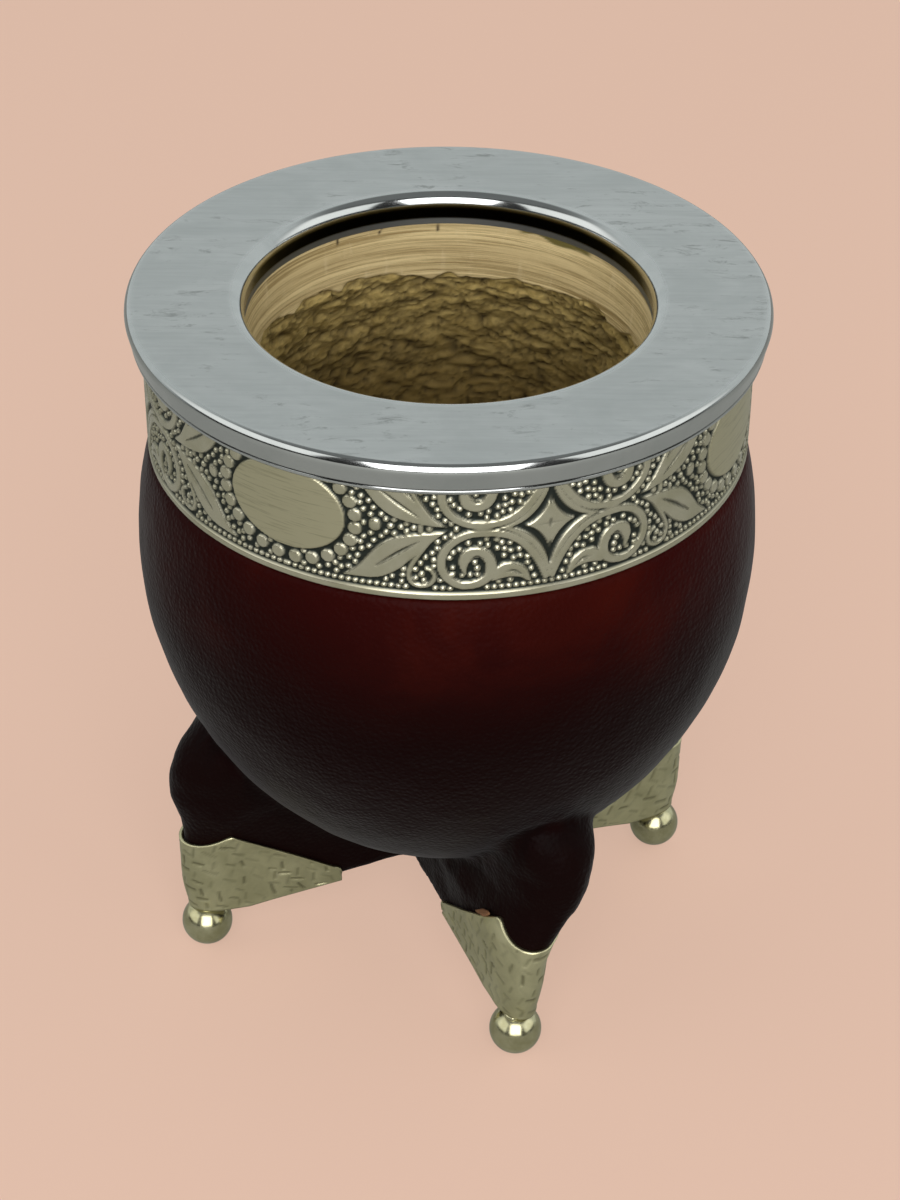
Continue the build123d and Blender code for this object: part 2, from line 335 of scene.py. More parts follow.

# %% [markdown]
# The face was brushed and then used, so it is a satin grey with faint streaks all running one way and
# a few dark rubs, while the rolled edges stay bright and mirror-like. The wall inside the mouth has a
# painted dark reflection, half as dark on a dull strip at its foot, and the skirt's groove has painted
# shade. Masks kept on the mesh say where all this is. Streaks are noise squeezed along one axis.

# %% Where the steel is satin, painted dark or dull
rim_across, rim_z = rim_profile.T
satin = step(lip_start - 0.5, lip_start + 0.8, rim_across)
satin *= 1 - step(edge_start - 0.3, edge_start + 0.6, rim_across)
satin *= rim_z > top_z - 0.15
in_mouth = rim_across < wall_radius + 0.3
# Painted dark reflection on the mouth's wall, half as strong on the dull strip at its foot, and painted
# shade in the skirt's groove.
painted_shade_and_reflection = in_mouth * step(lip_bottom + 0.2, lip_bottom - 0.3, rim_z)
painted_shade_and_reflection *= step(wall_bottom + 0.7, wall_bottom + 1.1, rim_z)
dull = in_mouth * step(wall_bottom + 1.2, wall_bottom + 0.8, rim_z)
painted_shade_and_reflection = np.maximum(painted_shade_and_reflection, 0.55 * dull)
groove_z = skirt_top + (skirt_foot[1] - skirt_top) * SKIRT_GROOVE_AT
in_groove = (np.abs(rim_z - groove_z) < SKIRT_GROOVE_HALF) & (rim_across > edge_start)
painted_shade_and_reflection = np.maximum(painted_shade_and_reflection, 0.85 * in_groove)

# %% Polished steel
polished_steel = Finish("polished_steel")
satin_mask = polished_steel.measure("satin")
streaks = polished_steel.grain((90, 1600, 900), 5.0, 0.65)
smudges = polished_steel.grain((60, 95, 60), 4.0, 0.6, 1.2)
rubs = polished_steel.grain((170, 520, 200), 7.0, 0.78, 0.6).limited(0.53, 0.66)
rubs = rubs * smudges.limited(0.47, 0.57)
steel_tone = smudges.limited(0.3, 0.75).blend((0.555, 0.575, 0.565), (0.635, 0.65, 0.64))
# Painted dark reflection and painted shade: the masked places of the steel are set nearly black.
steel_tone = polished_steel.measure("painted_shade_and_reflection").blend(steel_tone, (0.02, 0.022, 0.02))
steel_tone = (rubs * satin_mask * 0.65).blend(steel_tone, (0.25, 0.26, 0.25))
streak_mask = streaks.limited(0.35, 0.75) * satin_mask * 0.22
polished_steel.set(
    base_color=streak_mask.blend(steel_tone, (0.40, 0.415, 0.41)),
    metallic=1.0,
    roughness=0.12 + satin_mask * (0.20 + 0.16 * streaks) + 0.4 * polished_steel.measure("dull"),
    normal=polished_steel.bump(streaks * satin_mask, 0.012, 0.5),
)

# %% Rim piece
RIM_COLUMNS = 360
piece(
    "steel_rim",
    around(rim_profile, RIM_COLUMNS),
    grid_faces(len(rim_profile), RIM_COLUMNS),
    polished_steel.material,
    ["rim"],
    {
        "satin": np.repeat(satin, RIM_COLUMNS),
        "painted_shade_and_reflection": np.repeat(painted_shade_and_reflection, RIM_COLUMNS),
        "dull": np.repeat(dull, RIM_COLUMNS),
    },
)

# %% [markdown]
# ## Chased collar
# The collar is a strip of nickel silver with a raised ornament: ovals ringed by flat dots, leaves,
# C-scrolls and four-pointed stars on a ground of tiny beads that has been darkened. It is drawn
# once, as one quarter of a repeat, and folded: the strip mirrors it about each star, each
# oval and its own middle line. Each motif is a distance to a line or an outline, so its edge
# can be rounded like hammered metal, and the height becomes real relief on a fine grid.

# %% Lines and outlines as distances
CURVE_PIECES = 6
NEARBY = 2.0
FAR_AWAY = 1e3


def smooth_line(points):
    """A curve through the points, with short straight pieces between each two."""
    p = np.asarray(points, float)
    before = np.vstack([2 * p[0] - p[1], p[:-1]])
    after = np.vstack([p[1:], 2 * p[-1] - p[-2]])
    slope = (after - before) / 2
    t = np.linspace(0, 1, CURVE_PIECES, endpoint=False)[None, :, None]
    a, b = p[:-1, None], p[1:, None]
    sa, sb = slope[:-1, None], slope[1:, None]
    curve = (2 * t**3 - 3 * t**2 + 1) * a + (t**3 - 2 * t**2 + t) * sa
    curve = curve + (3 * t**2 - 2 * t**3) * b + (t**3 - t**2) * sb
    return np.vstack([curve.reshape(-1, p.shape[1]), p[-1]])


def near_line(at, curve):
    """Which places lie in the box round a line, or close to it."""
    return np.all((at > curve.min(0) - NEARBY) & (at < curve.max(0) + NEARBY), axis=1)


def to_segments(at, a, b):
    """Each place's share along every segment from a to b, and its distance to the segment."""
    along = np.clip(((at - a) * (b - a)).sum(-1) / ((b - a) ** 2).sum(-1), 0, 1)
    return along, np.linalg.norm(at - (a + along[..., None] * (b - a)), axis=-1)


def stroke(at, points, widths):
    """Distance from each place to the edge of a line whose width changes along it."""
    curve = smooth_line(np.column_stack([points, np.interp(np.arange(len(points)), *widths)]))
    best = np.full(len(at), FAR_AWAY)
    near = near_line(at, curve[:, :2])
    if near.any():
        along, away = to_segments(at[near, None], curve[:-1, :2], curve[1:, :2])
        width = curve[:-1, 2] + along * (curve[1:, 2] - curve[:-1, 2])
        best[near] = (away - width / 2).min(1)
    return best


def outline(at, points, corners):
    """Distance to the edge of a closed shape, negative inside; parts between corners are curves."""
    ends = list(corners) + [corners[0] + len(points)]
    runs = [[points[k % len(points)] for k in range(a, b + 1)] for a, b in zip(ends, ends[1:])]
    curve = np.vstack([smooth_line(run)[:-1] for run in runs])
    best = np.full(len(at), FAR_AWAY)
    near = near_line(at, curve)
    if near.any():
        p, a, b = at[near, None], curve, np.roll(curve, -1, 0)
        away = to_segments(p, a, b)[1].min(1)
        above = (a[:, 1] > p[..., 1]) != (b[:, 1] > p[..., 1])
        rise = np.where(b[:, 1] == a[:, 1], 1e-9, b[:, 1] - a[:, 1])
        crossing = p[..., 0] < (b[:, 0] - a[:, 0]) * (p[..., 1] - a[:, 1]) / rise + a[:, 0]
        inner = (above & crossing).sum(1) % 2 == 1
        best[near] = np.where(inner, -away, away)
    return best


# %% [markdown]
# The drawing below is one quarter of a repeat. Its first number runs along the strip from the middle
# of a star (0) to the middle of an oval (36), and its second from the middle line down.

# %% One quarter of the ornament
HALF_REPEAT = 36.0
SCROLL = [
    (0.45, -8.5), (1.2, -6.3), (2.4, -4.2), (3.9, -2.4), (5.6, -1.25), (7.5, -0.72), (9.3, -0.6),
    (11.0, -0.85), (12.6, -1.7), (13.8, -3.0), (14.4, -4.6), (14.3, -6.3), (13.4, -7.8), (11.8, -8.75),
    (9.8, -8.6), (8.4, -7.7), (7.9, -6.4), (8.0, -5.1), (8.7, -4.0), (9.9, -3.6), (11.0, -4.1),
    (11.5, -5.2), (11.45, -6.2), (11.2, -7.0),
]
SCROLL_WIDTHS = ([0, 1, 13, 17, 20, 23], [0.9, 1.2, 1.3, 1.55, 1.9, 0.3])
SCROLL_EYE = [(8.9, -4.6), (9.8, -4.2), (10.7, -4.7)]
LEAFLET = [
    (7.4, -6.4), (6.5, -5.6), (5.3, -5.45), (4.0, -5.9), (3.0, -6.9), (2.35, -9.0),
    (3.1, -8.75), (3.8, -8.2), (5.0, -7.9), (6.5, -8.0), (7.9, -8.4),
]
LEAFLET_SLIT = [(6.1, -6.75), (4.8, -6.85), (3.7, -7.6)]
LEAF = [
    (13.6, -0.25), (16.0, -0.5), (18.0, -0.8), (20.0, -1.3), (21.5, -2.0), (23.0, -3.3), (24.3, -5.0),
    (25.5, -6.6), (27.8, -8.6), (25.0, -8.5), (22.8, -8.2), (21.0, -7.3), (19.6, -6.2), (18.6, -5.1),
    (16.6, -3.1), (15.2, -1.6),
]
LEAF_SLIT = [(17.3, -1.85), (20.0, -3.75), (23.0, -6.2)]
HOOK = [
    (15.6, -1.7), (16.4, -2.7), (17.4, -4.1), (18.4, -5.9), (18.7, -7.4), (18.2, -8.6), (17.0, -9.0),
    (15.8, -8.5), (15.3, -7.4), (15.7, -6.5), (16.4, -6.2),
]
STAR_TIP = 3.9
STAR_HEIGHT = 5.0
STAR_BAND_AT = 1.0
STAR_BAND_HALF = 0.36
OVAL_HALF = (8.8, 6.45)
DOT_RADIUS = 1.0
DOTS = 24
BEAD_RADIUS = 0.43
BEAD_GAP = 0.05
ROW_OF_BEADS = -9.35
ROW_STEP = 0.98
GROUND_EDGE = -9.3
TRIES = 9000
LARGE_BEADS = [(23.2, -0.15, 0.9), (21.1, 0.0, 0.5), (19.7, 0.0, 0.45), (17.0, -7.2, 0.5)]
EYE_BEADS = [(9.7, -6.2, 0.5), (10.6, -7.2, 0.42), (12.9, -7.1, 0.42)]


def star_edge(at):
    """Distance to the edge of the concave star in the middle."""
    a, b = np.abs(at[:, 0]) / STAR_TIP, np.abs(at[:, 1]) / STAR_HEIGHT
    return (np.sqrt(a + 1e-6) ** 1.25 + np.sqrt(b + 1e-6) ** 1.25 - 1) * 2.6


def oval_edge(at):
    """Distance to the edge of the oval."""
    from_middle = (at - (HALF_REPEAT, 0)) / OVAL_HALF
    size = np.linalg.norm(from_middle, axis=1)
    slope = np.linalg.norm(from_middle / OVAL_HALF, axis=1) / np.maximum(size, 1e-6)
    return (size - 1) / np.maximum(slope, 1e-6)


def ring_of_dots():
    """Middles of the flat dots round the oval, as far as they lie in this quarter."""
    turn = 2 * math.pi * (np.arange(DOTS) + 0.5) / DOTS
    away = 0.4 + DOT_RADIUS
    x = HALF_REPEAT + (OVAL_HALF[0] + away) * np.cos(turn)
    y = (OVAL_HALF[1] + away) * np.sin(turn)
    keep = (x < HALF_REPEAT + 2) & (y < 2)
    return [(a, b, DOT_RADIUS) for a, b in zip(x[keep], y[keep])]


def disc_distance(at, discs):
    """Distance to the nearest edge of many discs given as (x, y, radius)."""
    best = np.full(len(at), FAR_AWAY)
    for x, y, radius in discs:
        near = np.all(np.abs(at - (x, y)) < radius + NEARBY, axis=1)
        away = np.hypot(at[near, 0] - x, at[near, 1] - y) - radius
        best[near] = np.minimum(best[near], away)
    return best


def flat_motifs(at):
    """Distance to the nearest raised motif with a flat top."""
    shapes = [
        star_edge(at),
        np.abs(star_edge(at) - STAR_BAND_AT) - STAR_BAND_HALF,
        stroke(at, SCROLL, SCROLL_WIDTHS),
        outline(at, LEAFLET, (0, 5, 10)),
        outline(at, LEAF, (0, 8)),
        stroke(at, HOOK, ([0, 2, 7, 10], [0.3, 0.7, 0.75, 0.6])),
        oval_edge(at),
        disc_distance(at, ring_of_dots()),
    ]
    return np.min(shapes, axis=0)


def scatter_beads():
    """Beads of the ground: a row along the border, then as many as fit between the motifs."""
    rng = np.random.default_rng(12)
    row = [(x, ROW_OF_BEADS) for x in np.arange(0.5, HALF_REPEAT, ROW_STEP)]
    tries = [rng.uniform(0, HALF_REPEAT, TRIES), rng.uniform(GROUND_EDGE, 0, TRIES)]
    tries = np.vstack([row, np.column_stack(tries)])
    taken = np.array(LARGE_BEADS + EYE_BEADS)
    spots, sizes = taken[:, :2], taken[:, 2]
    found = []
    for (x, y), gap in zip(tries, flat_motifs(tries)):
        if gap < BEAD_RADIUS * 0.85:
            continue
        if (np.hypot(spots[:, 0] - x, spots[:, 1] - y) < sizes + BEAD_RADIUS + BEAD_GAP).any():
            continue
        spots, sizes = np.vstack([spots, (x, y)]), np.append(sizes, BEAD_RADIUS)
        found.append((x, y, BEAD_RADIUS))
    return found


beads = scatter_beads()
print("one quarter of the ornament has", len(beads), "small beads")

# %% [markdown]
# The height of the strip is put together from these distances. Flat motifs rise to the full relief
# with a rounded edge, beads are little domes, engraved lines cut back in, and the borders are
# plain bands. A second number says how dark a place is: the ground keeps its dark patina and
# the tops are rubbed bright.

# %% Height of the strip
RELIEF = 0.42
BORDER = 1.1


def folded(along, height):
    """Places on the strip, moved into the quarter that is drawn."""
    x = np.abs((along + HALF_REPEAT) % (2 * HALF_REPEAT) - HALF_REPEAT)
    return np.column_stack([x.ravel(), -np.abs(height).ravel()])


def ornament(at):
    """Relief height from 0 to 1 and brightness from 0 to 1 at places in the quarter."""
    flat = flat_motifs(at)
    raised = step(0.10, -0.16, flat)
    cuts = [
        stroke(at, LEAF_SLIT, ([0, 1, 2], [0.1, 0.42, 0.15])),
        stroke(at, LEAFLET_SLIT, ([0, 1, 2], [0.1, 0.3, 0.1])),
        stroke(at, SCROLL_EYE, ([0, 1, 2], [0.08, 0.3, 0.08])),
        stroke(at, [(0.0, -4.2), (0.0, -3.3), (0.0, -2.4)], ([0, 1, 2], [0.5, 0.35, 0.05])),
        stroke(at, [(0.0, -0.9), (0.0, -0.4), (0.0, 0.3)], ([0, 1, 2], [0.05, 0.28, 0.3])),
        stroke(at, [(0.0, 0.0), (1.6, 0.0), (3.4, 0.0)], ([0, 1, 2], [0.2, 0.12, 0.05])),
    ]
    cut = step(0.06, -0.12, np.min(cuts, axis=0))
    raised = raised * (1 - 0.75 * cut)
    domes = np.zeros(len(at))
    for x, y, radius in beads + LARGE_BEADS + EYE_BEADS:
        near = (np.abs(at[:, 0] - x) < radius) & (np.abs(at[:, 1] - y) < radius)
        away = np.hypot(at[near, 0] - x, at[near, 1] - y) / radius
        domes[near] = np.maximum(domes[near], np.sqrt(np.clip(1 - away**2, 0, 1)))
    bright = np.maximum(step(0.02, -0.14, flat) * (1 - 0.9 * cut), step(0.25, 0.75, domes))
    return np.maximum(raised, 0.95 * domes), bright


def wrapped(angle):
    """An angle brought to within half a turn either way."""
    return (angle + math.pi) % (2 * math.pi) - math.pi


def strip_columns(front, back, middle):
    """Angles round the strip, closer together on the side that faces middle."""
    turn = np.linspace(-math.pi, math.pi, 2001)
    gap = np.where(np.abs(turn) < math.radians(100), front, back) / collar_radius
    count = np.cumsum(1 / gap) * (turn[1] - turn[0])
    wanted = np.arange(0, math.floor(count[-1]))
    return middle + np.interp(wanted * count[-1] / len(wanted), count, turn)


PATTERN_TURN = math.radians(288.3)
PATTERN_RISE = 0.8
FINE_SIDE = math.radians(270)
FINE_GAP, COARSE_GAP = 0.21, 0.29
ROW_GAP = 0.205
GROOVE_INSET = 0.22
collar_middle = (collar_low[2] + collar_high[2]) / 2
visible_top = top_z - SKIRT_HEIGHT + 0.8
heights = np.concatenate([
    np.arange(collar_low[2], visible_top, ROW_GAP),
    np.linspace(visible_top, collar_high[2], 4),
])
angles = strip_columns(FINE_GAP, COARSE_GAP, FINE_SIDE)
along = wrapped(angles - PATTERN_TURN) * collar_radius
grid_along, grid_height = np.meshgrid(along, heights)
at = folded(grid_along, grid_height - collar_middle - PATTERN_RISE)
relief, bright = (v.reshape(grid_along.shape) for v in ornament(at))
oval_mask = step(0.05, -0.1, oval_edge(at)).reshape(grid_along.shape)
from_edge = np.minimum(grid_height - collar_low[2], collar_high[2] - grid_height)
border = step(BORDER + 0.1, BORDER - 0.12, from_edge)
groove = step(0.3, 0.05, np.abs(from_edge - BORDER - GROOVE_INSET))
relief = np.maximum(relief * (1 - groove), border * (1 - 0.35 * step(0.25, 0.0, from_edge)))
bright = np.maximum(bright * (1 - groove), border)
print("collar grid", relief.shape)

# %% [markdown]
# The strip's edge turns inwards at top and bottom, so that it reads as sheet metal. Where its two
# ends meet at the back there is a soldered seam: a thin line with a slightly proud, smeared
# bead of solder.

# %% Collar form
EDGE_DEPTH = 1.0
SOLDER_SINK = 0.12
seam_turn = PATTERN_TURN - math.pi
seam = np.abs(wrapped(angles - seam_turn)) * collar_radius
solder = step(0.9, 0.2, seam + 0.25 * noise(join(0, 0, seam), 0.7, 3))
radius = collar_radius - RELIEF * (1 - relief)
radius += 0.05 * noise(join(grid_along, grid_height, 0), 6.0, 5)
radius = np.minimum(radius, collar_radius)
radius = radius * (1 - solder) + (collar_radius - SOLDER_SINK) * solder
face = join(radius * np.cos(angles), radius * np.sin(angles), grid_height)
shrink = (collar_radius - EDGE_DEPTH) / collar_radius
turned_in = (shrink, shrink, 1)
strip_points = np.concatenate([face[:1] * turned_in, face, face[-1:] * turned_in])
strip_bright = np.concatenate([bright[:1] * 0, bright, bright[-1:] * 0])
strip_oval = np.concatenate([oval_mask[:1], oval_mask, oval_mask[-1:]])

# %% [markdown]
# The metal is a warm nickel silver, a little darker in patches. The ovals are plain and brushed
# along the strip, and the ground between the motifs is nearly black.

# %% Chased metal and collar piece
chased_silver = Finish("chased_nickel_silver")
worn = chased_silver.measure("bright")
in_oval = chased_silver.measure("oval")
brush = chased_silver.grain((160, 160, 3800), 4.0, 0.6)
patches = chased_silver.grain((240, 240, 240), 3.0, 0.5)
warm = patches.limited(0.35, 0.7).blend((0.70, 0.66, 0.50), (0.60, 0.565, 0.40))
warm = in_oval.blend(warm, (0.67, 0.62, 0.42))
warm = (brush.limited(0.52, 0.66) * in_oval * 0.5).blend(warm, (0.40, 0.365, 0.22))
chased_silver.set(
    base_color=worn.blend((0.045, 0.052, 0.045), warm),
    metallic=1.0,
    roughness=0.50 - 0.24 * worn + 0.08 * in_oval,
    normal=chased_silver.bump(brush * in_oval + 0.3 * patches, 0.04, 0.5),
)
piece(
    "chased_collar",
    strip_points,
    grid_faces(len(strip_points), len(angles)),
    chased_silver.material,
    ["collar"],
    {"bright": strip_bright, "oval": strip_oval},
)

# %% [markdown]
# ## Leather cover
# One wet-moulded skin covers the bulb and is drawn out over the four feet. Separate tubes joined by a
# boolean would leave hard seams, so the skin is described by distances instead: a bulb from two
# arcs and four round-ended feet, blended where they meet. A foot widens towards the middle, and
# its outer end is a narrow nose. Low down the front foot is bent aside a little, and the
# underside is hollowed to a low dome. At the top the skin is tucked in under the collar.

# %% Distances that describe the skin
UPPER_ARC = 66.0
LOWER_ARC = 55.1
WIDEST_Z = 70.6
SKIN_THICK = 1.6
FOOT_LEVELS = np.array([
    (0.0, 2.6, 40.0), (4.5, 3.3, 40.7), (9.5, 3.9, 40.8), (15.5, 5.2, 41.0),
    (22.5, 6.9, 42.2), (29.0, 8.6, 41.2), (37.0, 10.6, 35.5),
])
FOOT_FLARE = 0.085
FOOT_NOSE = 1.8
TWIST_HEIGHTS = [0.0, 4.5, 9.5, 13.0, 15.5, 18.5, 24.0, 28.0, 33.0]
TWIST_DEGREES = [0.9, 1.3, 1.7, 3.2, 5.6, 8.4, 10.2, 10.2, 9.0]
ARCH_RADIUS = 32.0
ARCH_RISE = 6.0
TUCK_HEIGHT = 3.0
TUCK_INSET = 1.2
NECK_INSET = 2.6
SHOULDER_GAP = 0.15
underside_z = skin_low[2]
foot_curve = smooth_line(FOOT_LEVELS)


def foot_half(z):
    """Half width of a foot at height z."""
    return np.interp(z - underside_z, foot_curve[:, 0], foot_curve[:, 1])


def foot_reach(z):
    """How far a foot reaches from the middle of the base at height z."""
    return np.interp(z - underside_z, foot_curve[:, 0], foot_curve[:, 2])


def bulb_distance(radius, z, inset=0.0):
    """Distance to the bulb's outline, moved inwards by inset."""
    upper = np.hypot(radius - (body_radius - UPPER_ARC), z - WIDEST_Z) - UPPER_ARC
    lower = np.hypot(radius - (body_radius - LOWER_ARC), z - WIDEST_Z) - LOWER_ARC
    return np.where(z > WIDEST_Z, upper, lower) + inset


def union(a, b, soft):
    """The nearer of two distances, with a fillet about soft wide."""
    share = np.clip(0.5 + 0.5 * (b - a) / soft, 0, 1)
    return b * (1 - share) + a * share - soft * share * (1 - share)


def foot_angle(z, index):
    """Which way foot number index points at height z; only the front one is bent aside."""
    twist = np.interp(z - underside_z, TWIST_HEIGHTS, TWIST_DEGREES) * (FEET[index] == "front")
    return foot_turn + index * math.pi / 2 + np.radians(twist)


def turned(x, y, turn):
    """A place in plan, turned round the Z axis."""
    return x * np.cos(turn) - y * np.sin(turn), x * np.sin(turn) + y * np.cos(turn)


def under_rise(across):
    """How far the hollow underside has risen at a distance from the middle of the base."""
    return ARCH_RISE * np.clip(1 - across / ARCH_RADIUS, 0, 1)


def foot_distance(p, index):
    """Distance to one foot, a blade with a narrow nose that widens towards the middle."""
    x, y, z = (p - (*base_centre[:2], 0)).T
    x, y = turned(x, y, -foot_angle(z, index))
    half = foot_half(z)
    shoulder = foot_reach(z) - FOOT_NOSE * half
    flare = FOOT_FLARE * (shoulder - np.maximum(x, 0))
    blade = np.where(x > 0, np.abs(y), np.hypot(x, y)) - half - flare
    side = np.where(x > shoulder, np.hypot((x - shoulder) / FOOT_NOSE, y) - half, blade)
    return np.maximum(side * 0.94, z - underside_z - FOOT_LEVELS[-1, 0])


def feet_distance(p):
    """Distance to the four feet together."""
    feet = foot_distance(p, 0)
    for index in range(1, 4):
        feet = union(feet, foot_distance(p, index), 1.2)
    return feet


def skin_distance(p):
    """Distance to the whole cover."""
    radius = np.hypot(p[:, 0], p[:, 1])
    z = p[:, 2]
    under = underside_z + under_rise(np.hypot(*(p - base_centre)[:, :2].T))
    bulb = bulb_distance(radius, z)
    neck = np.minimum(z - collar_low[2] + SHOULDER_GAP, radius - collar_radius + TUCK_INSET)
    bulb = -union(-bulb, -neck, 0.9)
    outer = union(bulb, feet_distance(p), 1.0)
    outer = -union(-outer, z - under, 1.0)
    outer = np.maximum(outer, z - collar_low[2] - TUCK_HEIGHT)
    bore = radius - collar_radius + NECK_INSET
    hollow = np.maximum(bulb_distance(radius, z, SKIN_THICK), bore)
    hollow = np.where(z > collar_low[2] - TUCK_HEIGHT, np.minimum(hollow, bore), hollow)
    return np.maximum(outer, -hollow)


# %% [markdown]
# A grid of small cells is searched for the surface: wherever the distance changes sign along an edge,
# the four cells around that edge share a quad. This gives one even mesh that dents and folds
# can be pressed into. Its points are then moved onto the surface in a few steps.


# %% Find the surface between cells
def surface_from(distance, low, high, cell):
    """Points and quads of the surface where distance is 0, inside a box."""
    axes = [np.arange(a, b, cell) for a, b in zip(low, high)]
    grid = np.stack(np.meshgrid(*axes, indexing="ij"), axis=-1)
    value = distance(grid.reshape(-1, 3)).reshape(grid.shape[:3])
    shape = np.array(value.shape) - 1
    total, count = np.zeros((*shape, 3)), np.zeros(shape)
    crossings = []
    for axis in range(3):
        low_side = [slice(None)] * 3
        high_side = [slice(None)] * 3
        low_side[axis], high_side[axis] = slice(0, -1), slice(1, None)
        a, b = value[tuple(low_side)], value[tuple(high_side)]
        edge = np.argwhere((a < 0) != (b < 0))
        va, vb = a[tuple(edge.T)], b[tuple(edge.T)]
        spot = edge.astype(float)
        spot[:, axis] += va / (va - vb)
        others = [k for k in range(3) if k != axis]
        inner = np.all((edge[:, others] > 0) & (edge[:, others] < shape[others]), axis=1)
        for corner in itertools.product((0, 1), repeat=2):
            near = edge[inner].copy()
            near[:, others] -= corner
            np.add.at(total, tuple(near.T), spot[inner])
            np.add.at(count, tuple(near.T), 1)
        crossings.append((edge[inner], va[inner] < 0, others, axis))
    used = count > 0
    number = np.full(shape, -1)
    number[used] = np.arange(used.sum())
    points = total[used] / count[used][:, None] * cell + low
    quads = []
    for edge, rising, others, axis in crossings:
        ring = []
        for corner in ((0, 0), (1, 0), (1, 1), (0, 1)):
            near = edge.copy()
            near[:, others] -= corner
            ring.append(number[tuple(near.T)])
        quad = join(*ring)
        flip = rising if axis != 1 else ~rising
        quads.append(np.where(flip[:, None], quad, quad[:, ::-1]))
    return points, np.concatenate(quads)


def slope_of(distance, p, reach=0.15):
    """Direction in which a distance grows fastest."""
    return join(*[distance(p + d) - distance(p - d) for d in np.eye(3) * reach]) / (2 * reach)


SKIN_CELL = 0.72
MARGIN = 1.5
LONGEST_MOVE = 0.3
box_low = np.array([skin_low[0] - MARGIN, skin_low[1] - MARGIN, underside_z - MARGIN])
box_high = np.array([skin_high[0] + MARGIN, skin_high[1] + MARGIN, collar_low[2] + 5])
skin_points, skin_faces = surface_from(skin_distance, box_low, box_high, SKIN_CELL)
for _ in range(3):
    slope = slope_of(skin_distance, skin_points)
    away = skin_distance(skin_points) / np.maximum((slope**2).sum(1), 0.3)
    skin_points = skin_points - np.clip(away, -LONGEST_MOVE, LONGEST_MOVE)[:, None] * slope
print("skin surface:", len(skin_points), "points", len(skin_faces), "quads")

# %% [markdown]
# Wet leather isn't an ideal surface. It is pressed a little uneven all over, and where a foot leaves
# the bulb the skin gathers in folds. Both are moved into the mesh along its normals, and the amount
# of folding is kept for the finish, which paints shade into the folds.

# %% Dents and folds
DENT_DEPTH = 0.16
FOOT_DENT_DEPTH = 0.25
FOLD_DEPTH = 0.22
skin_z = skin_points[:, 2]
to_bulb = bulb_distance(np.hypot(skin_points[:, 0], skin_points[:, 1]), skin_z)
to_feet = feet_distance(skin_points)
meeting = np.exp(-(((to_bulb - to_feet) / 3.0) ** 2)) * step(collar_low[2] - 20, 40, skin_z)
meeting *= step(-3.0, -0.6, np.minimum(to_bulb, to_feet))
on_foot = step(0.3, 3.0, to_bulb)
gathers = np.clip(1 - np.abs(noise(skin_points * (1, 1, 0.35), 2.6, 21)) * 2, 0, 1)
push = DENT_DEPTH * layered(skin_points, 11, 31)
push = push + on_foot * FOOT_DENT_DEPTH * layered(skin_points, 6, 41)
push = push - meeting * FOLD_DEPTH * gathers
outward = slope_of(skin_distance, skin_points)
outward /= np.maximum(np.linalg.norm(outward, axis=1), 1e-6)[:, None]
hidden = to_bulb < -SKIN_THICK / 2
free = (~hidden) * step(underside_z + 0.3, underside_z + 3, skin_z)
free = free * step(collar_low[2] - 0.2, collar_low[2] - 2.5, skin_z)
skin_points = skin_points + outward * (push * free)[:, None]

# %% [markdown]
# The leather is dyed oxblood and polished. Painted light makes it a brownish red near the collar,
# and painted shade makes it less so towards the left and almost black low down; it is almost black
# on the feet as well. A faint sheen stands for its fine nap.
# The surface shows a pebble grain: small cells, for which a Voronoi pattern is the natural
# tool, in a bump with finer noise on top.

# %% Leather
leather = Finish("oxblood_leather")
foot_mask = leather.measure("foot")
painted_light_share = leather.measure("height")
pebble = leather.node(
    "ShaderNodeTexVoronoi",
    {"feature": "SMOOTH_F1"},
    {"Vector": leather.place(), "Scale": 1500.0, "Smoothness": 0.6, "Randomness": 1.0},
    "Distance",
)
pores = leather.grain((2600, 2600, 2600), 3.0, 0.6)
clouds = leather.grain((38, 38, 55), 4.0, 0.55, 0.4)
# Painted light: a brownish red glow with brighter clouds near the collar, and painted shade low down
# and towards the left.
dye_and_painted_light = painted_light_share.blend((0.0060, 0.0005, 0.0004), (0.034, 0.0016, 0.0010))
dye_and_painted_light = (clouds.limited(0.40, 0.72) * painted_light_share).blend(dye_and_painted_light, (0.054, 0.0042, 0.0014))
dye_and_painted_light = foot_mask.blend(dye_and_painted_light, (0.0060, 0.0012, 0.0010))
# Painted shade in the folds where a foot leaves the bulb.
dye_and_painted_light = (leather.measure("painted_fold_shade") * 0.6).blend(dye_and_painted_light, (0.003, 0.001, 0.001))
leather.set(
    base_color=dye_and_painted_light,
    roughness=0.36 + 0.16 * clouds + 0.08 * foot_mask,
    normal=leather.bump(pores, 0.09, 0.45, leather.bump(1 - pebble, 0.18, 0.5)),
    specular_ior_level=0.04,
    sheen_weight=0.07,
    sheen_roughness=0.35,
)
piece(
    "leather_skin",
    skin_points,
    skin_faces,
    leather.material,
    ["leather_cover"],
    {
        # painted shade in the folds
        "painted_fold_shade": np.clip(meeting * gathers * 1.3, 0, 1),
        "foot": on_foot,
        # painted light near the collar, and painted shade low down and on the left side
        "height": step(62, 98, skin_points[:, 2]) * (1 - 0.55 * step(-6, -38, skin_points[:, 0])),
    },
)

# %% [markdown]
# ## The gourd inside
# Inside the mouth the gourd was turned on a lathe, which left a pale band with fine rings. Below it the
# dried pulp is rough, brown and crinkled, and its upper edge is ragged. Both are one wall, turned
# from an outline and then pushed outwards by noise. Crinkles come from ridged noise: where
# smooth noise passes zero, its absolute value has a sharp crease.

